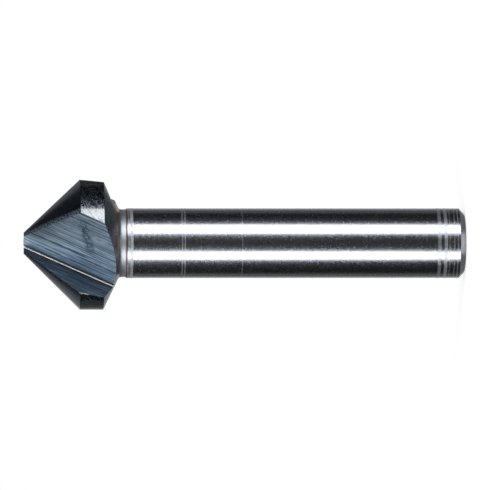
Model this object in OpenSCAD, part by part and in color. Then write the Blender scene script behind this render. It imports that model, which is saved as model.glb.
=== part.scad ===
// Three-flute countersink bit for 90 degree screw recesses, ground from one
// round bar. It stands on the end of its shank: +Z runs along the axis to the
// point, and the origin is the centre of the shank's end face. It cuts when it
// turns counter-clockwise as seen from the point.

/* [Shank] */
// Length over all, from the end of the shank to the flat of the point
overall_l = 63; // [45:0.5:90]
// Diameter of the plain cylindrical shank
shank_d = 10; // [7:0.1:11]
// Width of the 45 degree chamfer round the end of the shank
shank_chamfer = 0.9; // [0.2:0.1:1.5]

/* [Neck] */
// Depth of the turned neck below the surface of the shank
neck_depth = 0.16; // [0.05:0.01:0.5]
// Length of the neck at its full depth
neck_l = 0.9; // [0.4:0.1:2.5]

/* [Head] */
// Diameter of the head at its cylindrical margin
head_d = 19; // [17:0.1:24]
// Diameter of the flat at the point
tip_d = 3.2; // [3:0.1:5]
// Included angle of the cutting cone
point_angle = 90; // [80:1:100]
// Length of the cylindrical margin behind the cone
margin_l = 3.45; // [1.5:0.05:5]
// Slope of the back of the head, measured from the axis
back_angle = 64; // [55:1:75]

/* [Flutes] */
// Number of flutes, each with one cutting edge
flute_n = 3; // [2:1:3]
// Included angle of a flute's V section
flute_v = 78; // [66:1:84]
// Lean of a flute's root round the axis, away from the point
flute_lean = 23.8; // [20:0.1:28]
// Climb of a flute's root out of the axis, away from the point
flute_rise = 10; // [8:0.1:13]
// Turn of the V about its root, toward the heel
flute_turn = 7; // [2:0.1:12]
// Distance of the root from the axis at the flat of the point
root_offset = 0.52; // [0.45:0.01:0.7]
// Radius ground into the root of the V
root_r = 0.16; // [0.1:0.02:0.5]

/* [Relief] */
// Throw of the off-centre cone that backs each cutting edge
relief_throw = 0.12; // [0.05:0.01:0.3]
// Angle by which the relief starts ahead of the cutting edge
relief_lead = 3; // [1:0.5:8]

/* [Hidden] */
$fn = 96;

shank_r = shank_d / 2;
neck_r = shank_r - neck_depth;
head_r = head_d / 2;
tip_r = tip_d / 2;

// Heights of the stations along the axis, from the point down
cone_z = overall_l - (head_r - tip_r) / tan(point_angle / 2);
margin_z = cone_z - margin_l;
back_z = margin_z - (head_r - neck_r) / tan(back_angle);
neck_z = back_z - neck_l;
shank_z = neck_z - neck_depth;

// Directions of the V's two faces across its root, rake side and heel side
rake_side = -90 + flute_turn - flute_v / 2;
heel_side = -90 + flute_turn + flute_v / 2;
flute_reach = 2 * head_d;
root_top = [-root_offset, 0, overall_l];

// A direction in the V section, laid along the leaning root
function roll(v, a) = [v.x, v.y * cos(a) - v.z * sin(a), v.y * sin(a) + v.z * cos(a)];
function pitch(v, a) = [v.x * cos(a) + v.z * sin(a), v.y, v.z * cos(a) - v.x * sin(a)];
function laid(v) = pitch(roll(v, -flute_rise), flute_lean);

// Where the rake face meets the front edge of the margin: the outer corner
rake_n = laid([cos(rake_side + 90), sin(rake_side + 90), 0]);
corner_d = rake_n * root_top - rake_n.z * cone_z;
corner_angle = atan2(rake_n.y, rake_n.x) - acos(corner_d / (head_r * norm([rake_n.x, rake_n.y])));

relief_span = 270 / flute_n;
relief_over = 1;
overlap = 1;

// Half section of the shank and its neck, up into the head
module shank_section()
    polygon([
        [0, 0],
        [shank_r - shank_chamfer, 0],
        [shank_r, shank_chamfer],
        [shank_r, shank_z],
        [neck_r, neck_z],
        [neck_r, back_z + overlap],
        [0, back_z + overlap],
    ]);

// Half section of the head before its flutes are ground
module head_section()
    polygon([
        [0, back_z],
        [neck_r, back_z],
        [head_r, margin_z],
        [head_r, cone_z],
        [tip_r, overall_l],
        [0, overall_l],
    ]);

// V section of a flute with its rounded root, opening toward -Y
module flute_section() {
    root_mid = root_r / sin(flute_v / 2);
    tangent = root_r / tan(flute_v / 2);
    centre = root_mid * [cos(rake_side + flute_v / 2), sin(rake_side + flute_v / 2)];
    rake = [cos(rake_side), sin(rake_side)];
    heel = [cos(heel_side), sin(heel_side)];
    polygon([centre, tangent * rake, flute_reach * rake, flute_reach * heel, tangent * heel]);
    translate(centre) circle(r = root_r);
}

// One straight flute: the V follows a root that leans round the axis
module flute()
    translate(root_top)
        rotate([-flute_rise, flute_lean, 0])
            linear_extrude(height = 2 * flute_reach, center = true)
                flute_section();

// What grinding takes off the cone behind one cutting edge
module relief()
    translate(relief_throw * [cos(corner_angle + relief_lead + 90), sin(corner_angle + relief_lead + 90), 0])
        rotate([0, 0, corner_angle + 90 / flute_n - relief_span])
            rotate_extrude(angle = relief_span)
                polygon([
                    [tip_r - relief_over * tan(point_angle / 2), overall_l + relief_over],
                    [head_r + relief_over * tan(point_angle / 2), cone_z - relief_over],
                    [head_r + relief_over * tan(point_angle / 2), overall_l + relief_over],
                ]);

module shank()
    color("silver")
        rotate_extrude() shank_section();

module head()
    color([0.17, 0.20, 0.26])
        difference() {
            rotate_extrude() head_section();
            for (i = [0 : flute_n - 1])
                rotate([0, 0, i * 360 / flute_n]) {
                    flute();
                    relief();
                }
        }

module countersink_bit() {
    shank();
    head();
}

countersink_bit();
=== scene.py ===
"""Dresses a three-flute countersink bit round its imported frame, in a plain studio.

The bit stands on the end of its shank with its point up, in metres. Angles round
it are measured from +X toward +Y, and those of the studio's cards from the side
that the camera is on (-Y) toward +X.
"""

from __future__ import annotations

import logging
import math
from dataclasses import dataclass
from enum import Enum

import bpy
from mathutils import Matrix, Vector

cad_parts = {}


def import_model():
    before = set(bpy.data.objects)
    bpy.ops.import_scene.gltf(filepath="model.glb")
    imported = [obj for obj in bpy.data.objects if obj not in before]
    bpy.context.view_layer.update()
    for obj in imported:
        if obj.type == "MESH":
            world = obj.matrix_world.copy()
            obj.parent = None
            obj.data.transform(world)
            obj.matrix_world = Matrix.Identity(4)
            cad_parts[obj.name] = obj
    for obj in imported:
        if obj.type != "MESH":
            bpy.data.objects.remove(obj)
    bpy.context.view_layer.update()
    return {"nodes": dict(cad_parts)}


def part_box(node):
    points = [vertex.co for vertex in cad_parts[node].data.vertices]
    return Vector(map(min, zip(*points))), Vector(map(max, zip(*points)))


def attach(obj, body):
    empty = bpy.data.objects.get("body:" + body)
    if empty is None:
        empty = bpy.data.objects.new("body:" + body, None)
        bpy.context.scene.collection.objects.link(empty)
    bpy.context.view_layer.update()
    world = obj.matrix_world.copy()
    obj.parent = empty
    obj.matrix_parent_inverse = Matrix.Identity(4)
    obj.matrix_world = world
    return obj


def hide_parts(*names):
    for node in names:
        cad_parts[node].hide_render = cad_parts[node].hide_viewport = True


log = logging.getLogger("countersink")

MM = 0.001
NODE = "countersink_bit"
BODY = "root"

# Where round the axis the third of the bit begins whose pattern the others repeat
LAND_START = math.radians(-150)
FLUTE_START = math.radians(-160)

# Least dot product of two normals that count as one direction
SAME_WAY = 0.9998
# Most that the normal of an upright face rises or falls
UPRIGHT = 0.1

WHITE = (1.0, 1.0, 1.0, 1.0)

Colour = tuple[float, float, float]
Point = tuple[float, float, float]
Face = tuple[int, ...]


class Wire:
    """A node's output, wrapped so that maths on numbers reads as arithmetic."""

    def __init__(self, kit: NodeKit, socket: bpy.types.NodeSocket) -> None:
        """Keeps the node kit and the output socket."""
        self.kit = kit
        self.socket = socket

    def __add__(self, other: Wire | float) -> Wire:
        """Sum."""
        return self.kit.maths("ADD", self, other)

    def __radd__(self, other: Wire | float) -> Wire:
        """Sum, with the number first."""
        return self.kit.maths("ADD", other, self)

    def __sub__(self, other: Wire | float) -> Wire:
        """Difference."""
        return self.kit.maths("SUBTRACT", self, other)

    def __rsub__(self, other: Wire | float) -> Wire:
        """Difference, with the number first."""
        return self.kit.maths("SUBTRACT", other, self)

    def __mul__(self, other: Wire | float) -> Wire:
        """Product."""
        return self.kit.maths("MULTIPLY", self, other)

    def __rmul__(self, other: Wire | float) -> Wire:
        """Product, with the number first."""
        return self.kit.maths("MULTIPLY", other, self)

    def __truediv__(self, other: Wire | float) -> Wire:
        """Quotient."""
        return self.kit.maths("DIVIDE", self, other)

    def __rtruediv__(self, other: Wire | float) -> Wire:
        """Quotient, with the number first."""
        return self.kit.maths("DIVIDE", other, self)

    def __pow__(self, other: Wire | float) -> Wire:
        """Power."""
        return self.kit.maths("POWER", self, other)

    def out(self, name: str) -> Wire:
        """Another output of the same node."""
        return Wire(self.kit, self.socket.node.outputs[name])

    def between(self, low: float, high: float) -> Wire:
        """Rises smoothly from 0 at low to 1 at high, and holds there."""
        values = {"Value": self, "From Min": low, "From Max": high}
        return self.kit.add("ShaderNodeMapRange", {"interpolation_type": "SMOOTHSTEP"}, values)

    def near(self, centre: float, half: float, soft: float) -> Wire:
        """One within half of centre, and nought past a soft edge."""
        away = self.kit.maths("ABSOLUTE", self - centre)
        return 1 - away.between(half, half + soft)


class NodeKit:
    """Adds nodes to one tree, of a material, the world or geometry."""

    def __init__(self, tree: bpy.types.NodeTree) -> None:
        """Keeps the tree."""
        self.tree = tree

    def add(
        self,
        kind: str,
        settings: dict[str, object] | None = None,
        values: dict[str | int, object] | None = None,
        out: str | int = 0,
    ) -> Wire | None:
        """Adds one node.

        Args:
            kind: the node's type.
            settings: its properties, set first; "stops" holds a ramp's stops.
            values: numbers, or wires to link, by socket name or index.
            out: the output that is handed back.

        Returns:
            The chosen output as a wire, or None from a node that has no output.
        """
        node = self.tree.nodes.new(kind)
        for name, value in (settings or {}).items():
            if name == "stops":
                self._set_stops(node.color_ramp, value)
            else:
                setattr(node, name, value)
        self.feed(node, values or {})
        return Wire(self, node.outputs[out]) if len(node.outputs) else None

    def feed(self, node: bpy.types.Node, values: dict[str | int, object]) -> None:
        """Gives a node its numbers and wires, by socket name or index."""
        for name, value in values.items():
            self.plug(value, node.inputs[name])

    def plug(self, value: object, socket: bpy.types.NodeSocket) -> None:
        """Links a wire to a socket, or sets the socket to a plain value.

        Args:
            value: a wire, a plain value, or None to leave the socket as it is.
            socket: the node's input.
        """
        if isinstance(value, Wire):
            self.tree.links.new(value.socket, socket)
        elif value is not None:
            socket.default_value = value

    def _set_stops(self, ramp: bpy.types.ColorRamp, stops: list[tuple[float, Colour]]) -> None:
        """Gives a ramp its stops.

        Args:
            ramp: the ramp of a colour ramp node.
            stops: place and colour of each stop, from first to last.
        """
        while len(ramp.elements) < len(stops):
            ramp.elements.new(1.0)
        for element, (position, colour) in zip(ramp.elements, stops):
            element.position = position
            element.color = (*colour, 1.0)

    def maths(self, operation: str, *values: Wire | float) -> Wire:
        """Adds one Math node on the given values."""
        return self.add("ShaderNodeMath", {"operation": operation}, dict(enumerate(values)))

    def mix(self, share: Wire | float, first: object, second: object) -> Wire:
        """Mixes two colours, from first at 0 to second at 1."""
        values = {0: share, 6: as_rgba(first), 7: as_rgba(second)}
        return self.add("ShaderNodeMix", {"data_type": "RGBA"}, values, out=2)

    def scaled(self, vector: Wire, factor: Wire | float) -> Wire:
        """A vector or colour times a number."""
        settings = {"operation": "SCALE"}
        return self.add("ShaderNodeVectorMath", settings, {0: vector, "Scale": factor})

    def dot(self, vector: Wire, direction: Vector) -> Wire:
        """How far a vector reaches along a direction."""
        settings = {"operation": "DOT_PRODUCT"}
        return self.add("ShaderNodeVectorMath", settings, {0: vector, 1: direction[:]}, out="Value")

    def vector(self, x: Wire | float, y: Wire | float, z: Wire | float) -> Wire:
        """Joins three numbers into a vector."""
        return self.add("ShaderNodeCombineXYZ", None, {0: x, 1: y, 2: z})

    def noise(self, place: Wire, scale: float, detail: float = 2.0, rough: float = 0.5) -> Wire:
        """Soft noise from 0 to 1 at a place."""
        values = {"Vector": place, "Scale": scale, "Detail": detail, "Roughness": rough}
        return self.add("ShaderNodeTexNoise", {"noise_dimensions": "3D"}, values)

    def object_mm(self) -> Wire:
        """The point on the object, in millimetres."""
        return self.scaled(self.add("ShaderNodeTexCoord", None, None, out="Object"), 1 / MM)

    def split(self, vector: Wire) -> tuple[Wire, Wire, Wire]:
        """The three numbers of a vector."""
        x = self.add("ShaderNodeSeparateXYZ", None, {0: vector}, out="X")
        return x, x.out("Y"), x.out("Z")

    def angle(self, x: Wire, y: Wire) -> Wire:
        """Angle of a point round the upright axis, in radians."""
        return self.maths("ARCTAN2", y, x)

    def radius(self, x: Wire, y: Wire) -> Wire:
        """Distance of a point from the upright axis."""
        return (x * x + y * y) ** 0.5

    def looked_at(self) -> Wire:
        """Tells a look at a surface from light that falls on it.

        Returns:
            One where the camera, a mirror or a glass looks, and nought for light.
        """
        path = self.add("ShaderNodeLightPath", out="Is Camera Ray")
        seen = self.maths("MAXIMUM", path, path.out("Is Glossy Ray"))
        return self.maths("MAXIMUM", seen, path.out("Is Transmission Ray"))


def as_rgba(value: object) -> object:
    """A colour with its alpha, or a wire as it is."""
    return (*value, 1.0) if isinstance(value, tuple) else value


def grey(level: float) -> Colour:
    """A colour without a hue."""
    return (level, level, level)


def toned(colour: Colour, factor: float) -> Colour:
    """A colour made lighter or darker."""
    return tuple(channel * factor for channel in colour)


def linked(name: str, data: bpy.types.ID) -> bpy.types.Object:
    """Puts some data into the scene.

    Args:
        name: name of the new object.
        data: the mesh or camera that it shows.

    Returns:
        The new object.
    """
    thing = bpy.data.objects.new(name, data)
    bpy.context.scene.collection.objects.link(thing)
    return thing


def empty_kit(owner: bpy.types.Material | bpy.types.World) -> NodeKit:
    """Empties the node tree of a material or a world.

    Args:
        owner: the material or the world.

    Returns:
        A kit on the emptied tree.
    """
    owner.use_nodes = True
    owner.node_tree.nodes.clear()
    return NodeKit(owner.node_tree)


@dataclass(frozen=True)
class Flute:
    """How one straight flute lies, with its root's top on the flat of the point.

    A face is the flute's if it lies within off_plane and off_square of one of its
    planes, or within root_zone times the root's radius of its root.
    """

    count: int = 3
    v_angle: float = math.radians(78)
    lean: float = math.radians(23.8)
    rise: float = math.radians(10)
    turn: float = math.radians(7)
    root_offset: float = 0.52 * MM
    root_r: float = 0.13 * MM
    root_steps: int = 8
    root_zone: float = 2.5
    off_plane: float = 0.01 * MM
    off_square: float = 0.02
    above: float = 14 * MM
    below: float = 30 * MM
    reach: float = 30 * MM

    @property
    def tilt(self) -> Matrix:
        """Turn that lays the flute's own axes in the bit."""
        return (Matrix.Rotation(self.lean, 4, "Y") @ Matrix.Rotation(-self.rise, 4, "X")).to_3x3()

    @property
    def rake_side(self) -> float:
        """Angle of the rake face across the root."""
        return math.radians(-90) + self.turn - self.v_angle / 2

    @property
    def heel_side(self) -> float:
        """Angle of the heel face across the root."""
        return math.radians(-90) + self.turn + self.v_angle / 2

    @property
    def down(self) -> Vector:
        """Direction of the root, away from the point."""
        return self.tilt @ Vector((0, 0, -1))

    @property
    def rake_normal(self) -> Vector:
        """Outward normal of the rake face."""
        angle = self.rake_side + math.pi / 2
        return self.tilt @ Vector((math.cos(angle), math.sin(angle), 0))

    @property
    def heel_normal(self) -> Vector:
        """Outward normal of the heel face."""
        angle = self.heel_side - math.pi / 2
        return self.tilt @ Vector((math.cos(angle), math.sin(angle), 0))

    def outward(self, normal: Vector) -> Vector:
        """Looks along a flute face, square to the root and away from it.

        Args:
            normal: the outward normal of the rake face or the heel face.

        Returns:
            The direction in that face.
        """
        side = self.down.cross(normal)
        other = self.rake_normal if normal.dot(self.heel_normal) > SAME_WAY else self.heel_normal
        return side if side.dot(other) > 0 else -side

    def top(self, height: float) -> Vector:
        """Where the root meets the flat of the point."""
        return Vector((-self.root_offset, 0, height))

    def section(self) -> list[Vector]:
        """Draws the V section with its rounded root.

        Returns:
            Its corners in the flute's own axes, from the far end of the heel face
            round the root to the far end of the rake face.
        """
        middle = (self.rake_side + self.heel_side) / 2
        centre = self.root_r / math.sin(self.v_angle / 2) * Vector((math.cos(middle), math.sin(middle)))
        sweep = math.pi - self.v_angle
        points = [self.reach * Vector((math.cos(self.heel_side), math.sin(self.heel_side)))]
        for step in range(self.root_steps + 1):
            angle = middle + math.pi + sweep * (step / self.root_steps - 0.5)
            points.append(centre + self.root_r * Vector((math.cos(angle), math.sin(angle))))
        points.append(self.reach * Vector((math.cos(self.rake_side), math.sin(self.rake_side))))
        return points

    def cutter(self, height: float) -> bpy.types.Object:
        """Prism of the V section, laid where the grinding wheel passes.

        Args:
            height: height of the flat of the point.

        Returns:
            A helper object, which the caller removes.
        """
        place = Matrix.Translation(self.top(height)) @ self.tilt.to_4x4()
        section = self.section()
        size = len(section)
        points = [place @ Vector((p.x, p.y, z)) for z in (-self.below, self.above) for p in section]
        sides = [(i, (i + 1) % size, size + (i + 1) % size, size + i) for i in range(size)]
        faces = [tuple(reversed(range(size))), tuple(range(size, 2 * size)), *sides]
        mesh = bpy.data.meshes.new("flute_cutter")
        mesh.from_pydata(points, [], faces)
        return linked("flute_cutter", mesh)


class Zone(Enum):
    """Surfaces of the bit that carry a finish of their own."""

    SHANK = 0
    SHANK_END = 1
    NECK = 2
    BACK = 3
    MARGIN = 4
    LAND = 5
    HEEL = 6
    RAKE = 7
    ROOT = 8


@dataclass(frozen=True)
class GroundShank:
    """Cylindrically ground and polished steel, with a few handling rings.

    Each ring has its height and half its width, in millimetres, and its strength.
    """

    colour: Colour = (0.59, 0.62, 0.69)
    roughness: float = 0.219
    line_haze: float = 0.05
    rub_haze: float = 0.026
    speck_haze: float = 0.12
    ring_haze: float = 0.22
    ring_dulling: float = 0.35
    dark_tone: float = 0.9
    light_tone: float = 1.04
    ring_edge: float = 0.05
    rings: tuple[tuple[float, float, float], ...] = (
        (1.22, 0.05, 0.40),
        (1.72, 0.05, 0.30),
        (2.40, 0.05, 0.30),
        (2.95, 0.20, 0.60),
        (3.86, 0.20, 0.45),
        (31.95, 0.05, 0.20),
        (40.10, 0.07, 0.35),
        (40.50, 0.07, 0.35),
        (47.68, 0.18, 0.90),
        (48.10, 0.14, 0.45),
    )

    def material(self) -> bpy.types.Material:
        """Builds the shank's material.

        Returns:
            The material.
        """
        material, kit, shader = new_material("ground_shank")
        place = kit.object_mm()
        x, y, z = kit.split(place)
        lines = kit.noise(kit.vector(x * 0.10, y * 0.10, z), 3.4, 3.0, 0.7)
        fine = kit.noise(kit.vector(x * 0.7, y * 0.7, z * 0.6), 4.0, 2.0, 0.6)
        speckle = kit.noise(place, 2.4, 1.0, 0.5).between(0.70, 0.75)
        rubbed = fine.between(0.40, 0.66)
        worn = self.worn(z) * (0.7 + 0.6 * rubbed)
        rough = self.roughness + self.line_haze * lines + self.rub_haze * rubbed
        rough = rough + self.speck_haze * speckle + self.ring_haze * worn
        shade = lines.between(0.25, 0.75) * 0.5 + fine.between(0.3, 0.7) * 0.5
        height = lines * 0.4 + fine * 0.3 + speckle
        dark, light = toned(self.colour, self.dark_tone), toned(self.colour, self.light_tone)
        values = {
            "Base Color": kit.mix(shade, dark, light),
            "Roughness": rough,
            "Metallic": 1 - self.ring_dulling * worn,
            "Normal": bump(kit, height, 0.2, 0.0006),
        }
        kit.feed(shader, values)
        return material

    def worn(self, z: Wire) -> Wire:
        """How much the rings have worn the steel at a height."""
        bands = [z.near(height, half, self.ring_edge) * share for height, half, share in self.rings]
        return sum(bands)


@dataclass(frozen=True)
class TurnedEnd:
    """The plain turned end face of the shank and its chamfer."""

    colour: Colour = (0.56, 0.58, 0.64)
    dark_tone: float = 0.62
    roughness: float = 0.16
    grain_haze: float = 0.15

    def material(self) -> bpy.types.Material:
        """Builds the end's material.

        Returns:
            The material.
        """
        material, kit, shader = new_material("turned_end")
        place = kit.object_mm()
        x, y, z = kit.split(place)
        rings = kit.noise(kit.vector(kit.radius(x, y), z, 0.0), 7.0, 3.0, 0.6)
        grain = kit.noise(place, 5.0, 2.0, 0.6)
        shade = (rings + grain).between(0.7, 1.2)
        values = {
            "Base Color": kit.mix(shade, toned(self.colour, self.dark_tone), self.colour),
            "Roughness": self.roughness + self.grain_haze * grain,
            "Metallic": 1.0,
            "Normal": bump(kit, rings, 0.3, 0.004),
        }
        kit.feed(shader, values)
        return material


@dataclass(frozen=True)
class TintedNeck:
    """Turned neck between head and shank, tinted by heat."""

    roughness: float = 0.46
    line_haze: float = 0.1
    straw: Colour = (0.44, 0.36, 0.30)
    blue: Colour = (0.31, 0.49, 0.63)
    pale: Colour = (0.66, 0.67, 0.71)
    brown: Colour = (0.37, 0.31, 0.31)

    def material(self, foot: float, top: float) -> bpy.types.Material:
        """Builds the neck's material.

        Args:
            foot: height of the shank's shoulder, in millimetres.
            top: height where the back of the head starts.

        Returns:
            The material.
        """
        material, kit, shader = new_material("tinted_neck")
        x, y, z = kit.split(kit.object_mm())
        wave = kit.noise(kit.vector(x * 0.6, y * 0.6, z * 0.5), 1.1, 2.0)
        level = (z - foot) / (top - foot) + (wave - 0.5) * 0.25
        stops = [
            (0.0, self.brown),
            (0.14, self.brown),
            (0.24, self.pale),
            (0.62, self.pale),
            (0.84, self.blue),
            (1.0, self.straw),
        ]
        lines = kit.noise(kit.vector(x * 0.2, y * 0.2, z), 9.0, 3.0, 0.6)
        values = {
            "Base Color": kit.add("ShaderNodeValToRGB", {"stops": stops}, {0: level}),
            "Roughness": self.roughness + self.line_haze * lines,
            "Metallic": 1.0,
            "Normal": bump(kit, lines, 0.3, 0.003),
        }
        kit.feed(shader, values)
        return material


@dataclass(frozen=True)
class CoatedTurned:
    """Dark coating over the turned and relieved surfaces of the head.

    The rubbing and the scratches are hazier than the coating, and so is the worn
    fringe along the edge of each flute's heel. The edge is how bright the coating
    gets where it is seen at a grazing angle.
    """

    name: str
    colour: Colour
    roughness: float
    rubbing: float
    scratches: float = 0.0
    scratch_haze: float = 0.16
    fringe: float = 0.0
    fringe_haze: float = 0.2
    fringe_dulling: float = 0.8
    edge: float = 1.0
    worn: Colour = (0.205, 0.28, 0.38)
    bloom: Colour = (0.09, 0.125, 0.165)
    heat: Colour = (0.39, 0.34, 0.31)

    def material(self, bit: Bit) -> bpy.types.Material:
        """Builds the coating's material.

        Args:
            bit: the bit that the coating is on.

        Returns:
            The material.
        """
        material, kit, shader = new_material(self.name)
        place = flute_place(kit, bit.flute, LAND_START)
        x, y, z = kit.split(place)
        girth = kit.angle(x, y) * (bit.head_r / MM)
        grain = kit.noise(place, 7.0, 2.0, 0.6)
        rubbed = grain.between(0.45, 0.66)
        slant = kit.vector(z * 0.83 - girth * 0.56, z * 0.06 + girth * 0.08, 0.0)
        scored = kit.noise(slant, 3.4, 1.0, 0.5).between(0.55, 0.62) * self.scratches
        fringe = self.fringed(kit, place, kit.vector(girth * 0.5, z, 0.0), bit)
        coat = kit.mix(rubbed * 0.9, self.colour, self.worn)
        coat = kit.mix(fringe, coat, self.bloom)
        heated = z.between(bit.back_z / MM + 0.1, bit.back_z / MM + 1.3)
        rough = self.roughness + self.rubbing * rubbed
        rough = rough + self.fringe_haze * fringe + self.scratch_haze * scored
        values = {
            "Base Color": kit.mix(heated, self.heat, coat),
            "Roughness": rough,
            "Metallic": 1 - self.fringe_dulling * fringe,
            "Normal": bump(kit, grain, 0.3, 0.0005),
            "Specular Tint": as_rgba(grey(self.edge)),
        }
        kit.feed(shader, values)
        return material

    def fringed(self, kit: NodeKit, place: Wire, unrolled: Wire, bit: Bit) -> Wire:
        """The worn fringe along a heel face.

        Args:
            kit: the material's node kit.
            place: the point, turned into the first third.
            unrolled: the same point on the unrolled surface.
            bit: the bit that the coating is on.

        Returns:
            How worn the coating is, from 0 to the fringe's strength.
        """
        normal = bit.flute.heel_normal
        depth = normal.dot(bit.flute.top(bit.height)) / MM - kit.dot(place, normal)
        comb = kit.noise(unrolled, 4.6, 1.0, 0.5).between(0.25, 0.75)
        return depth.near(0.1, 0.1, 0.7) * comb * self.fringe


@dataclass(frozen=True)
class CoatedFlute:
    """Dark coating over a ground flute face, whose grinding lines show through.

    Lines run along the root: dark cuts, light threads and a fine ground, with
    pitch as the scale of them all and groove as their depth. The smudge lies
    smudge_below the flat of the point and smudge_x beside the axis. Painted light
    lightens the face toward its root, as far as painted_light_reach in millimetres,
    and painted shade darkens it toward the flat of the point. A thin painted
    shadow line lies beside the root, and a painted highlight at the outer corner
    of the cutting edge.
    """

    name: str
    colour: Colour
    dark: Colour
    light: Colour
    # colour of the painted shadow line beside the root
    root_shadow: Colour
    roughness: float
    groove: float
    cuts: float
    threads: float
    pitch: float = 1.0
    line_haze: float = 0.12
    grain_haze: float = 0.05
    smudge: float = 0.0
    smudge_below: float = 9.13
    smudge_x: float = 0.8
    smudge_slope: float = 0.33
    # painted highlight at the outer corner of the cutting edge
    glint: float = 0.0
    glint_dulling: float = 0.8
    # painted light: how much the face is lightened toward its root
    painted_root_light: float = 0.0
    painted_light_reach: float = 8.0
    edge: float = 0.55
    # matt near-white of the painted highlight
    glint_white: Colour = grey(0.80)

    def material(self, bit: Bit, normal: Vector) -> bpy.types.Material:
        """Builds the face's material.

        Args:
            bit: the bit that the face belongs to.
            normal: the face's outward normal, in the flute that faces the camera.

        Returns:
            The material.
        """
        material, kit, shader = new_material(self.name)
        flute = bit.flute
        top = flute.top(bit.height)
        place = flute_place(kit, flute, FLUTE_START)
        outward = flute.outward(normal)
        along = kit.dot(place, flute.down)
        across = kit.dot(place, outward) - outward.dot(top) / MM
        fine = self.streaks(kit, along * 0.02, across, 7.0, 4.2, 0.7)
        cut = self.streaks(kit, along * 0.02, across, 5.0, 3.4)
        grain = kit.noise(place, 5.0, 2.0, 0.6)
        coat = self.ground(kit, along, across, fine, cut)
        if self.smudge:
            coat = self.smudged(kit, coat, place, bit.height / MM)
        # painted light toward the root, painted shade toward the point and a painted shadow line beside
        # the root
        coat = self.paint_light_and_shade(kit, coat, along - flute.down.dot(top) / MM, across)
        metallic = 1.0
        # painted highlight: matt near-white at the outer corner of the cutting edge
        if self.glint:
            painted_glint = self.painted_glint(kit, place, bit)
            coat = kit.mix(painted_glint, coat, self.glint_white)
            metallic = 1 - self.glint_dulling * painted_glint
        values = {
            "Base Color": coat,
            "Roughness": self.roughness + self.line_haze * fine + self.grain_haze * grain,
            "Metallic": metallic,
            "Normal": bump(kit, fine + grain * 0.2 - cut, self.groove, 0.006),
            "Specular Tint": as_rgba(grey(self.edge)),
        }
        kit.feed(shader, values)
        return material

    def streaks(
        self, kit: NodeKit, along: Wire, across: Wire, layer: float, scale: float, rough: float = 0.6
    ) -> Wire:
        """Noise that is drawn out along the root.

        Args:
            kit: the material's node kit.
            along: the shortened way along the root.
            across: the way across the face.
            layer: tells one set of streaks from another.
            scale: how close the streaks are at a pitch of 1.
            rough: how strong the finer detail is.

        Returns:
            The streaks, from 0 to 1.
        """
        return kit.noise(kit.vector(along, across, layer), scale * self.pitch, 1.0, rough)

    def ground(self, kit: NodeKit, along: Wire, across: Wire, fine: Wire, cut: Wire) -> Wire:
        """Colour of the face under its grinding lines.

        Args:
            kit: the material's node kit.
            along: the way along the root.
            across: the way across the face.
            fine: the fine lines that also make the bump.
            cut: the dark cuts that also make the bump.

        Returns:
            The colour.
        """
        wide = kit.noise(kit.vector(along * 0.05, across, 3.0), 0.8, 2.0, 0.6)
        thread = self.streaks(kit, along * 0.02, across, 9.0, 3.8)
        broken = self.streaks(kit, along * 0.25, across, 4.0, 2.4)
        coat = kit.mix(wide.between(0.30, 0.65), self.dark, self.colour)
        coat = kit.mix(0.45, coat, self.colour)
        coat = kit.mix(fine.between(0.46, 0.56) * 0.6, coat, self.light)
        cuts = cut.between(0.53, 0.58) * broken.between(0.22, 0.48) * self.cuts
        coat = kit.mix(cuts, coat, self.dark)
        threads = thread.between(0.55, 0.61) * (1 - broken.between(0.4, 0.7)) * self.threads
        return kit.mix(threads, coat, self.light)

    def smudged(self, kit: NodeKit, coat: Wire, place: Wire, height: float) -> Wire:
        """Adds a dark smudge to the flute that faces the camera, and to no other.

        Args:
            kit: the material's node kit.
            coat: the colour so far.
            place: the point, turned into the first third.
            height: height of the flat of the point, in millimetres.

        Returns:
            The colour with the smudge.
        """
        x, y, z = kit.split(kit.object_mm())
        mottle = kit.noise(place, 2.3, 3.0, 0.7).between(0.36, 0.54)
        level = (z - x * self.smudge_slope).near(height - self.smudge_below, 0.2, 0.7)
        spot = level * x.near(self.smudge_x, 1.3, 1.5)
        front = 1 - y.between(-2.0, 0.0)
        return kit.mix(spot * front * mottle * self.smudge, coat, self.dark)

    def paint_light_and_shade(self, kit: NodeKit, coat: Wire, from_tip: Wire, across: Wire) -> Wire:
        """Paints light on the face toward its root and shade toward the flat of the point, and paints a
        thin shadow line beside the root.

        Args:
            kit: the material's node kit.
            coat: the colour so far.
            from_tip: the way along the root from the flat of the point.
            across: the way across the face from the root.

        Returns:
            The colour with the painted light and shade.
        """
        behind = from_tip.between(0.5, 6.0)
        broad = (1 - across.between(0.0, self.painted_light_reach)) * behind
        close = across.near(1.3, 0.5, 0.8) * (1 - from_tip.between(3.0, 10.0))
        away = across.between(1.8, 3.2) * (1 - from_tip.between(4.0, 11.0))
        # painted light and shade, scaled into the face's colour
        painted_lift = (broad + close * 0.9 - away * 0.24) * self.painted_root_light
        coat = kit.scaled(coat, 0.75 + 0.25 * behind + painted_lift)
        # painted shadow line beside the root, stronger away from the point
        root_shadow_share = (0.35 + behind * 0.5) * (1 - across.between(0.32, 0.58))
        return kit.mix(root_shadow_share, coat, self.root_shadow)

    def painted_glint(self, kit: NodeKit, place: Wire, bit: Bit) -> Wire:
        """Finds the outer corner of the cutting edge, where the coating is chipped and a painted
        highlight makes the steel matt near-white.

        Args:
            kit: the material's node kit.
            place: the point, turned into the first third.
            bit: the bit that the face belongs to.

        Returns:
            How strong the painted highlight is, from 0 to the glint's strength.
        """
        x, y, z = kit.split(place)
        rim = kit.radius(x, y).between(bit.head_r / MM - 0.22, bit.head_r / MM - 0.10)
        return rim * z.near(bit.cone_z / MM - 0.5, 0.5, 0.5) * self.glint


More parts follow.
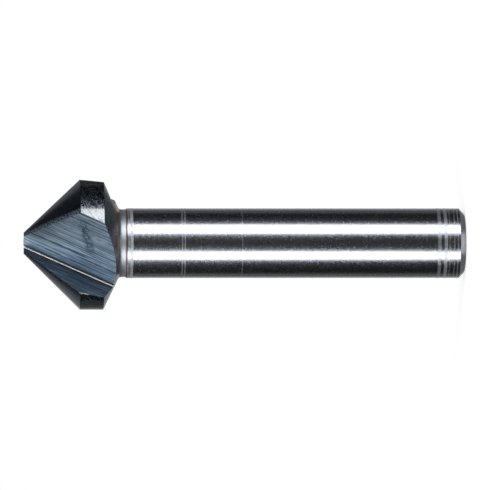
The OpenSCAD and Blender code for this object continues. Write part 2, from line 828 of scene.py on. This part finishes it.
@dataclass(frozen=True)
class BrightRoot:
    """The narrow root of a flute, rubbed bright."""

    colour: Colour = (0.98, 0.96, 0.96)
    dark_tone: float = 0.84
    roughness: float = 0.42
    patch_haze: float = 0.1

    def material(self, flute: Flute) -> bpy.types.Material:
        """Builds the root's material.

        Args:
            flute: the flute that the root belongs to.

        Returns:
            The material.
        """
        material, kit, shader = new_material("bright_root")
        along = kit.dot(flute_place(kit, flute, FLUTE_START), flute.down)
        patches = kit.noise(kit.vector(along, 0.0, 0.0), 1.3, 3.0, 0.6)
        dark = toned(self.colour, self.dark_tone)
        values = {
            "Base Color": kit.mix(patches.between(0.3, 0.6), dark, self.colour),
            "Roughness": self.roughness + self.patch_haze * patches,
            "Metallic": 1.0,
        }
        kit.feed(shader, values)
        return material


def new_material(name: str) -> tuple[bpy.types.Material, NodeKit, bpy.types.Node]:
    """Makes a fresh node material.

    Args:
        name: the material's name.

    Returns:
        The material, a kit on its tree and its main shader.
    """
    material = bpy.data.materials.new(name)
    material.use_nodes = True
    shader = material.node_tree.nodes["Principled BSDF"]
    return material, NodeKit(material.node_tree), shader


def bump(kit: NodeKit, height: Wire, strength: float, depth_mm: float) -> Wire:
    """A normal that follows a height.

    Args:
        kit: the material's node kit.
        height: the height, about 0 to 1.
        strength: share of the full slope.
        depth_mm: depth of a height of 1, in millimetres.

    Returns:
        The normal.
    """
    values = {"Strength": strength, "Distance": depth_mm * MM, "Height": height}
    return kit.add("ShaderNodeBump", None, values)


def flute_place(kit: NodeKit, flute: Flute, start: float) -> Wire:
    """The point in millimetres, turned into the flute that opens toward the camera.

    Each third of the bit is turned back to the first one, so that all flutes have
    the same grinding pattern.

    Args:
        kit: the material's node kit.
        flute: the flute, for the count.
        start: where round the axis the first third begins.

    Returns:
        The turned point.
    """
    place = kit.object_mm()
    x, y, _ = kit.split(place)
    step = math.tau / flute.count
    sector = kit.maths("FLOOR", (kit.angle(x, y) - start) / step)
    settings = {"rotation_type": "Z_AXIS"}
    return kit.add("ShaderNodeVectorRotate", settings, {"Vector": place, "Angle": sector * -step})


@dataclass
class Bit:
    """The whole bit, turned from bar and then fluted, as its solid is."""

    height: float
    head_r: float
    shank_r: float = 5.0 * MM
    shank_chamfer: float = 0.82 * MM
    neck_depth: float = 0.16 * MM
    neck_l: float = 0.9 * MM
    tip_r: float = 1.6 * MM
    cone_half: float = math.radians(45)
    margin_l: float = 3.45 * MM
    back_angle: float = math.radians(64)
    relief_throw: float = 0.12 * MM
    relief_lead: float = math.radians(3)
    foot_ease: float = 0.03 * MM
    segments: int = 288
    sharp_angle: float = math.radians(16)
    flute: Flute = Flute()

    @property
    def neck_r(self) -> float:
        """Radius of the turned neck."""
        return self.shank_r - self.neck_depth

    @property
    def cone_z(self) -> float:
        """Height of the foot of the cone."""
        return self.height - (self.head_r - self.tip_r) / math.tan(self.cone_half)

    @property
    def margin_z(self) -> float:
        """Height where the margin ends and the back starts."""
        return self.cone_z - self.margin_l

    @property
    def back_z(self) -> float:
        """Height where the back meets the neck."""
        return self.margin_z - (self.head_r - self.neck_r) / math.tan(self.back_angle)

    @property
    def neck_z(self) -> float:
        """Height where the neck starts to widen to the shank."""
        return self.back_z - self.neck_l

    @property
    def shank_z(self) -> float:
        """Height of the shank's shoulder."""
        return self.neck_z - self.neck_depth

    def stations(self) -> list[tuple[float, float]]:
        """Heights and radii of the turned blank, with its corners eased.

        Each corner has its height, its radius and how much is eased off on both
        sides. The centre of the end face only says which way the first corner
        turns, so it is left out: a cap closes the face.

        Returns:
            The height and radius of each station, from the end face to the point.
        """
        corners = [
            (0.0, 0.0, 0.0),
            (0.0, self.shank_r - self.shank_chamfer, 0.28 * MM),
            (self.shank_chamfer, self.shank_r, 0.05 * MM),
            (self.shank_z, self.shank_r, 0.10 * MM),
            (self.neck_z, self.neck_r, 0.16 * MM),
            (self.back_z, self.neck_r, 0.30 * MM),
            (self.margin_z, self.head_r, 0.05 * MM),
            (self.cone_z, self.head_r, self.foot_ease),
            (self.height, self.tip_r, 0.0),
        ]
        line: list[tuple[float, float]] = []
        for index, (z, r, eased) in enumerate(corners):
            here = Vector((z, r))
            if not eased:
                line.append((z, r))
                continue
            before, after = Vector(corners[index - 1][:2]), Vector(corners[index + 1][:2])
            start = here + (before - here).normalized() * eased
            stop = here + (after - here).normalized() * eased
            for share in (0.0, 0.25, 0.5, 0.75, 1.0):
                point = start.lerp(here, share).lerp(here.lerp(stop, share), share)
                line.append((point.x, point.y))
        return line[1:]

    def corner_angle(self) -> float:
        """Finds the outer corner, where the rake face meets the cone's foot.

        Returns:
            Its angle round the axis.
        """
        normal = self.flute.rake_normal
        reach = normal.dot(self.flute.top(self.height)) - normal.z * self.cone_z
        flat = math.hypot(normal.x, normal.y)
        return math.atan2(normal.y, normal.x) - math.acos(reach / (self.head_r * flat))

    def axis_line(self) -> bpy.types.Object:
        """Lays the axis as a line of points that carry the blank's radius.

        Returns:
            A helper object, which the caller removes.
        """
        stations = self.stations()
        mesh = bpy.data.meshes.new("axis_line")
        points = [(0.0, 0.0, z) for z, _ in stations]
        mesh.from_pydata(points, [(i, i + 1) for i in range(len(points) - 1)], [])
        radius = mesh.attributes.new("turned_r", "FLOAT", "POINT")
        radius.data.foreach_set("value", [r for _, r in stations])
        return linked("axis_line", mesh)

    def grinding_tree(self) -> bpy.types.NodeTree:
        """Lays out the nodes that turn the blank, relieve its lands and cut its flutes.

        Returns:
            The tree, with the bit's sizes as its named inputs.
        """
        tree = bpy.data.node_groups.new("turn_and_flute", "GeometryNodeTree")
        for name, kind in (
            ("Axis", "NodeSocketGeometry"),
            ("Segments", "NodeSocketInt"),
            ("Flutes", "NodeSocketInt"),
            ("Cutter", "NodeSocketObject"),
            ("Relief", "NodeSocketFloat"),
            ("Relief Angle", "NodeSocketFloat"),
            ("Cone Foot", "NodeSocketFloat"),
            ("Finish", "NodeSocketMaterial"),
        ):
            tree.interface.new_socket(name, in_out="INPUT", socket_type=kind)
        tree.interface.new_socket("Bit", in_out="OUTPUT", socket_type="NodeSocketGeometry")
        kit = NodeKit(tree)
        given = kit.add("NodeGroupInput", None, None, out="Axis")
        step = math.tau / given.out("Flutes")
        blank = self._turned(kit, given)
        blank = self._relieved(kit, given, blank, step)
        ground = self._fluted(kit, given, blank, step)
        realised = kit.add("GeometryNodeRealizeInstances", None, {0: ground})
        values = {0: realised, "Material": given.out("Finish")}
        dressed = kit.add("GeometryNodeSetMaterial", None, values)
        kit.add("NodeGroupOutput", None, {"Bit": dressed})
        return tree

    def _turned(self, kit: NodeKit, given: Wire) -> Wire:
        """Sweeps a circle of each station's radius along the axis.

        Args:
            kit: the tree's node kit.
            given: the tree's inputs, from the axis on.

        Returns:
            The turned blank.
        """
        axis = kit.add("GeometryNodeMeshToCurve", None, {0: given})
        ring_values = {"Resolution": given.out("Segments"), "Radius": 1.0}
        ring = kit.add("GeometryNodeCurvePrimitiveCircle", {"mode": "RADIUS"}, ring_values)
        radius = kit.add("GeometryNodeInputNamedAttribute", {"data_type": "FLOAT"}, {"Name": "turned_r"})
        values = {"Curve": axis, "Profile Curve": ring, "Scale": radius, "Fill Caps": True}
        return kit.add("GeometryNodeCurveToMesh", None, values)

    def _relieved(self, kit: NodeKit, given: Wire, blank: Wire, step: Wire) -> Wire:
        """Lets the cone fall away behind each cutting edge.

        Args:
            kit: the tree's node kit.
            given: the tree's inputs.
            blank: the turned blank.
            step: the angle from one flute to the next.

        Returns:
            The relieved blank.
        """
        x, y, z = kit.split(kit.add("GeometryNodeInputPosition"))
        angle = kit.angle(x, y)
        behind = kit.maths("FLOORED_MODULO", given.out("Relief Angle") - angle, step)
        drop = given.out("Relief") * kit.maths("SINE", behind)
        foot = given.out("Cone Foot")
        # The cone moves in at the point and down at its foot, which is the same on
        # a slope of 45 degrees: the flat keeps its height and the margin its radius
        near_tip = kit.maths("GREATER_THAN", z, foot + self.tip_r)
        inward = drop * near_tip * -1
        offset = kit.vector(
            inward * kit.maths("COSINE", angle),
            inward * kit.maths("SINE", angle),
            drop * (near_tip - 1),
        )
        on_cone = kit.maths("GREATER_THAN", z, foot - 2 * self.foot_ease)
        values = {"Geometry": blank, "Selection": on_cone, "Offset": offset}
        return kit.add("GeometryNodeSetPosition", None, values)

    def _fluted(self, kit: NodeKit, given: Wire, blank: Wire, step: Wire) -> Wire:
        """Cuts the flutes, which are one cutter turned round the axis.

        Args:
            kit: the tree's node kit.
            given: the tree's inputs.
            blank: the relieved blank.
            step: the angle from one flute to the next.

        Returns:
            The ground bit.
        """
        places = kit.add("GeometryNodePoints", None, {"Count": given.out("Flutes")})
        turn = kit.vector(0.0, 0.0, kit.add("GeometryNodeInputIndex") * step)
        info_values = {"Object": given.out("Cutter")}
        cutter = kit.add("GeometryNodeObjectInfo", None, info_values, out="Geometry")
        values = {"Points": places, "Instance": cutter, "Rotation": turn}
        cutters = kit.add("GeometryNodeInstanceOnPoints", None, values)
        cutters = kit.add("GeometryNodeRealizeInstances", None, {0: cutters})
        settings = {"operation": "DIFFERENCE", "solver": "EXACT"}
        values = {"Mesh 1": blank, "Mesh 2": cutters, "Self Intersection": True}
        return kit.add("GeometryNodeMeshBoolean", settings, values)

    def build(self) -> bpy.types.Object:
        """Runs the tree and dresses what it makes, zone by zone.

        Returns:
            The bit as one plain mesh.
        """
        line = self.axis_line()
        cutter = self.flute.cutter(self.height)
        tree = self.grinding_tree()
        materials = self.materials()
        modifier = line.modifiers.new("turn_and_flute", "NODES")
        modifier.node_group = tree
        given = {
            "Segments": self.segments,
            "Flutes": self.flute.count,
            "Cutter": cutter,
            "Relief": self.relief_throw,
            "Relief Angle": self.corner_angle() + self.relief_lead,
            "Cone Foot": self.cone_z,
            "Finish": materials[Zone.LAND],
        }
        for item in tree.interface.items_tree:
            if item.name in given:
                modifier[item.identifier] = given[item.name]
        graph = bpy.context.evaluated_depsgraph_get()
        mesh = bpy.data.meshes.new_from_object(line.evaluated_get(graph), depsgraph=graph)
        mesh.name = "bit"
        bit = linked("bit", mesh)
        for helper in (line, cutter):
            bpy.data.objects.remove(helper)
        self.dress(mesh, materials)
        return bit

    def materials(self) -> dict[Zone, bpy.types.Material]:
        """Makes the finishes.

        Returns:
            One material for each zone.
        """
        flute = self.flute
        heel = CoatedFlute(
            name="heel_face",
            colour=(0.21, 0.29, 0.37),
            dark=(0.06, 0.09, 0.125),
            light=(0.38, 0.485, 0.59),
            # painted shadow line beside the root
            root_shadow=(0.075, 0.062, 0.06),
            roughness=0.34,
            groove=0.5,
            cuts=0.9,
            threads=0.8,
            smudge=0.9,
            # painted light toward the root
            painted_root_light=1.1,
        )
        rake = CoatedFlute(
            name="rake_face",
            colour=(0.15, 0.187, 0.232),
            dark=(0.055, 0.072, 0.095),
            light=(0.31, 0.37, 0.44),
            # painted shadow line beside the root
            root_shadow=(0.08, 0.09, 0.11),
            roughness=0.34,
            groove=0.4,
            cuts=0.7,
            threads=0.9,
            pitch=0.75,
            # painted highlight at the corner of the cutting edge
            glint=1.0,
        )
        back = CoatedTurned(
            name="coated_back",
            colour=(0.175, 0.19, 0.21),
            roughness=0.20,
            rubbing=0.16,
            edge=0.55,
        )
        margin = CoatedTurned(
            name="coated_margin",
            colour=(0.24, 0.236, 0.232),
            roughness=0.09,
            rubbing=0.36,
            scratches=1.0,
            edge=0.6,
        )
        land = CoatedTurned(
            name="coated_land",
            colour=(0.17, 0.195, 0.235),
            roughness=0.18,
            rubbing=0.09,
            fringe=0.9,
        )
        return {
            Zone.SHANK: GroundShank().material(),
            Zone.SHANK_END: TurnedEnd().material(),
            Zone.NECK: TintedNeck().material(self.shank_z / MM, self.back_z / MM),
            Zone.BACK: back.material(self),
            Zone.MARGIN: margin.material(self),
            Zone.LAND: land.material(self),
            Zone.HEEL: heel.material(self, flute.heel_normal),
            Zone.RAKE: rake.material(self, flute.rake_normal),
            Zone.ROOT: BrightRoot().material(flute),
        }

    def dress(self, mesh: bpy.types.Mesh, materials: dict[Zone, bpy.types.Material]) -> None:
        """Gives each face its zone's material, and keeps true edges sharp.

        Args:
            mesh: the bit's mesh.
            materials: the material of each zone.
        """
        mesh.materials.clear()
        for zone in Zone:
            mesh.materials.append(materials[zone])
        for face in mesh.polygons:
            face.material_index = self.zone_of(face.center, face.normal).value
            face.use_smooth = True
        mesh.set_sharp_from_angle(angle=self.sharp_angle)
        counts = {zone.name: 0 for zone in Zone}
        for face in mesh.polygons:
            counts[Zone(face.material_index).name] += 1
        log.info("bit: %d faces, %s", len(mesh.polygons), counts)

    def zone_of(self, centre: Vector, normal: Vector) -> Zone:
        """Sorts a face by its place and direction.

        Args:
            centre: the middle of the face.
            normal: its outward normal.

        Returns:
            The zone that it belongs to.
        """
        flute_zone = self.flute_zone(centre, normal)
        if flute_zone:
            return flute_zone
        if centre.z < self.shank_chamfer and normal.z < -UPRIGHT:
            return Zone.SHANK_END
        if centre.z < self.shank_z:
            return Zone.SHANK
        if centre.z < self.back_z:
            return Zone.NECK
        if centre.z < self.margin_z and normal.z < -UPRIGHT:
            return Zone.BACK
        return Zone.MARGIN if centre.z < self.cone_z and abs(normal.z) < UPRIGHT else Zone.LAND

    def flute_zone(self, centre: Vector, normal: Vector) -> Zone | None:
        """Sorts a face into the parts of a flute.

        Args:
            centre: the middle of the face.
            normal: its outward normal.

        Returns:
            Heel, rake or root, or None where the face belongs to no flute.
        """
        flute = self.flute
        if centre.z < self.back_z:
            return None
        for index in range(flute.count):
            back = Matrix.Rotation(-index * math.tau / flute.count, 3, "Z")
            here = back @ centre - flute.top(self.height)
            facing = back @ normal
            if abs(facing.dot(flute.down)) > flute.off_square:
                continue
            for zone, plane in ((Zone.HEEL, flute.heel_normal), (Zone.RAKE, flute.rake_normal)):
                if facing.dot(plane) > SAME_WAY and abs(here.dot(facing)) < flute.off_plane:
                    return zone
            off_root = here - flute.down * here.dot(flute.down)
            if off_root.length < flute.root_zone * flute.root_r:
                return Zone.ROOT
        return None


@dataclass(frozen=True)
class Card:
    """One upright panel of the light tent, in degrees and millimetres.

    Only reflections show it, unless it lights everything.
    """

    name: str
    start: float
    stop: float
    low: float
    high: float
    light: float
    lights_all: bool = False


@dataclass(frozen=True)
class LevelCard:
    """One square level panel under the floor, for what faces down to mirror."""

    name: str
    front: float
    half: float
    depth: float
    light: float


@dataclass
class Studio:
    """A plain pale floor, two tall softboxes and the cards that shape the reflections."""

    radius: float = 250 * MM
    shell_gap: float = 2 * MM
    cards: tuple[Card, ...] = (
        Card("front_card", -28.6, 32.7, -90, 600, 0.012),
        Card("softbox_right", 32.7, 61.0, -60, 190, 3.8, True),
        Card("softbox_left", -53.4, -28.6, -60, 190, 3.8, True),
        Card("dark_card_right", 61.0, 116, -90, 700, 0.004),
        Card("dark_card_left", -118, -53.4, -90, 110, 0.004),
        Card("fill_card_left", -118, -53.4, 110, 800, 0.62),
        Card("side_card_right", 116, 135, -90, 100, 0.085),
        Card("side_card_left", -135, -118, -90, 100, 0.10),
        Card("back_card_right", 135, 146, -90, 100, 0.17),
        Card("back_card_left", -146, -135, -90, 100, 0.17),
        Card("limb_card_right", 146, 154, -90, 100, 0.34),
        Card("limb_card_left", -154, -146, -90, 100, 0.34),
        Card("ground_card_right", 154, 161, -90, 100, 0.62),
        Card("ground_card_left", -161, -154, -90, 100, 0.62),
        Card("white_card", 161, 199, -90, 100, 1.0),
        Card("mid_card", 116, 242, 100, 170, 0.30),
        Card("upper_card", 116, 242, 170, 225, 0.20),
        Card("high_card", 116, 242, 225, 900, 0.03),
    )
    level_cards: tuple[LevelCard, ...] = (
        LevelCard("under_card", 0, 250, -90, 0.20),
        LevelCard("front_under_card", 95, 55, -85, 0.75),
        LevelCard("end_card", 0, 19, -60, 0.8),
    )
    ambient: float = 0.45
    facet_deg: float = 6.0
    floor_half: float = 4.0
    pale: Colour = grey(0.82)
    near_mm: float = 60.0
    far_mm: float = 260.0
    shown_near: Colour = grey(0.80)
    shown_far: Colour = grey(0.30)
    glow_near: float = 0.58
    glow_far: float = 0.89

    def build(self) -> None:
        """Makes the floor, the cards and the world."""
        for card in self.cards:
            self.card(card)
        for card in self.level_cards:
            self.level_card(card)
        self.floor()
        self.world()

    def emitter(self, name: str, light: float) -> bpy.types.Material:
        """Makes a material that only gives light.

        Args:
            name: the material's name.
            light: how strong it is, where 1 is white.

        Returns:
            The material.
        """
        material = bpy.data.materials.new(name)
        kit = empty_kit(material)
        glow = kit.add("ShaderNodeEmission", None, {"Color": WHITE, "Strength": light})
        kit.add("ShaderNodeOutputMaterial", None, {"Surface": glow})
        return material

    def staged(
        self, name: str, points: list[Point], faces: list[Face], material: bpy.types.Material
    ) -> bpy.types.Object:
        """Makes a stage object.

        Args:
            name: the object's name.
            points: its corners, in metres.
            faces: the corners of each face, by number.
            material: what it shows.

        Returns:
            The object.
        """
        mesh = bpy.data.meshes.new(name)
        mesh.from_pydata(points, [], faces)
        mesh.materials.append(material)
        thing = linked(name, mesh)
        return thing

    def panel(
        self, card: Card | LevelCard, points: list[Point], faces: list[Face], lights_all: bool
    ) -> None:
        """Makes a card's panel, which the camera doesn't see.

        Args:
            card: the card, for its name and its light.
            points: the panel's corners, in metres.
            faces: the corners of each face, by number.
            lights_all: whether it lights matt surfaces too.
        """
        panel = self.staged(card.name, points, faces, self.emitter(card.name, card.light))
        panel.visible_camera = False
        panel.visible_shadow = False
        panel.visible_diffuse = lights_all

    def card(self, card: Card) -> None:
        """Bends one card round the bit.

        Args:
            card: the card.
        """
        steps = max(2, round((card.stop - card.start) / self.facet_deg))
        radius = self.radius if card.lights_all else self.radius + self.shell_gap
        points = []
        for step in range(steps + 1):
            angle = math.radians(card.start + (card.stop - card.start) * step / steps)
            x, y = radius * math.sin(angle), -radius * math.cos(angle)
            points += [(x, y, card.low * MM), (x, y, card.high * MM)]
        faces = [(2 * i, 2 * i + 2, 2 * i + 3, 2 * i + 1) for i in range(steps)]
        self.panel(card, points, faces, card.lights_all)

    def level_card(self, card: LevelCard) -> None:
        """Lays one card under the floor.

        Args:
            card: the card.
        """
        half, z = card.half * MM, card.depth * MM
        near, far = -card.front * MM - half, -card.front * MM + half
        corners = [(-half, near, z), (half, near, z), (half, far, z), (-half, far, z)]
        self.panel(card, corners, [(0, 1, 2, 3)], False)

    def floor(self) -> None:
        """A large pale floor that shows white and keeps a soft shadow.

        The light that falls on it shows most within near_mm of the bit. From there
        to far_mm the floor's own glow takes over.
        """
        material = bpy.data.materials.new("pale_floor")
        kit = empty_kit(material)
        x, y, _ = kit.split(kit.object_mm())
        near = 1 - kit.radius(x, y).between(self.near_mm, self.far_mm)
        pale = kit.add("ShaderNodeBsdfDiffuse", None, {"Color": as_rgba(self.pale)})
        shade = kit.mix(near, self.shown_far, self.shown_near)
        soft = kit.add("ShaderNodeBsdfDiffuse", None, {"Color": shade})
        strength = self.glow_far - (self.glow_far - self.glow_near) * near
        glow = kit.add("ShaderNodeEmission", None, {"Color": WHITE, "Strength": strength})
        shown = kit.add("ShaderNodeAddShader", None, {0: soft, 1: glow})
        surface = kit.add("ShaderNodeMixShader", None, {0: kit.looked_at(), 1: pale, 2: shown})
        kit.add("ShaderNodeOutputMaterial", None, {"Surface": surface})
        half = self.floor_half
        corners = [(-half, -half, 0), (half, -half, 0), (half, half, 0), (-half, half, 0)]
        floor = self.staged("floor", corners, [(0, 1, 2, 3)], material)
        floor.visible_glossy = False

    def world(self) -> None:
        """White behind the bit and a plain level of light all round."""
        world = bpy.data.worlds.new("studio")
        bpy.context.scene.world = world
        kit = empty_kit(world)
        strength = self.ambient + kit.looked_at() * (1 - self.ambient)
        sky = kit.add("ShaderNodeBackground", None, {"Color": WHITE, "Strength": strength})
        kit.add("ShaderNodeOutputWorld", None, {"Surface": sky})


@dataclass(frozen=True)
class PhotoCamera:
    """Camera at the photograph's angle: turned a quarter, so that the point is left."""

    frame_px: float = 490.0
    scale_px: float = 7002.0
    distance: float = 950 * MM
    above: float = math.radians(2.75)
    aim: Vector = Vector((-0.26 * MM, 0.0, 31.39 * MM))
    sensor: float = 36.0
    clip: tuple[float, float] = (0.01, 20.0)

    def build(self) -> None:
        """Makes the camera and gives it to the scene."""
        data = bpy.data.cameras.new("photo_camera")
        data.sensor_width = self.sensor
        data.lens = self.scale_px * self.distance / self.frame_px * self.sensor
        data.clip_start, data.clip_end = self.clip
        camera = linked("photo_camera", data)
        back = Vector((0, -math.cos(self.above), math.sin(self.above)))
        up = Vector((1, 0, 0))
        right = up.cross(back)
        turn = Matrix((right, up, back)).transposed().to_4x4()
        camera.matrix_world = Matrix.Translation(self.aim + back * self.distance) @ turn
        bpy.context.scene.camera = camera


def widest(node: bpy.types.Object) -> float:
    """Largest distance of a mesh's points from the upright axis."""
    return max(math.hypot(v.co.x, v.co.y) for v in node.data.vertices)


def main() -> None:
    """Loads the frame, builds the bit round it and sets the studio."""
    logging.basicConfig(level=logging.INFO, format="%(name)s: %(message)s")
    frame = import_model()
    PhotoCamera().build()
    Studio().build()
    node = frame["nodes"][NODE]
    low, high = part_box(NODE)
    bit = Bit(height=high.z - low.z, head_r=widest(node))
    piece = bit.build()
    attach(piece, BODY)
    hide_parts(NODE)
    log.info("%s stands for %s", piece.name, NODE)
    bpy.context.scene.view_settings.view_transform = "Standard"


if __name__ == "__main__":
    main()
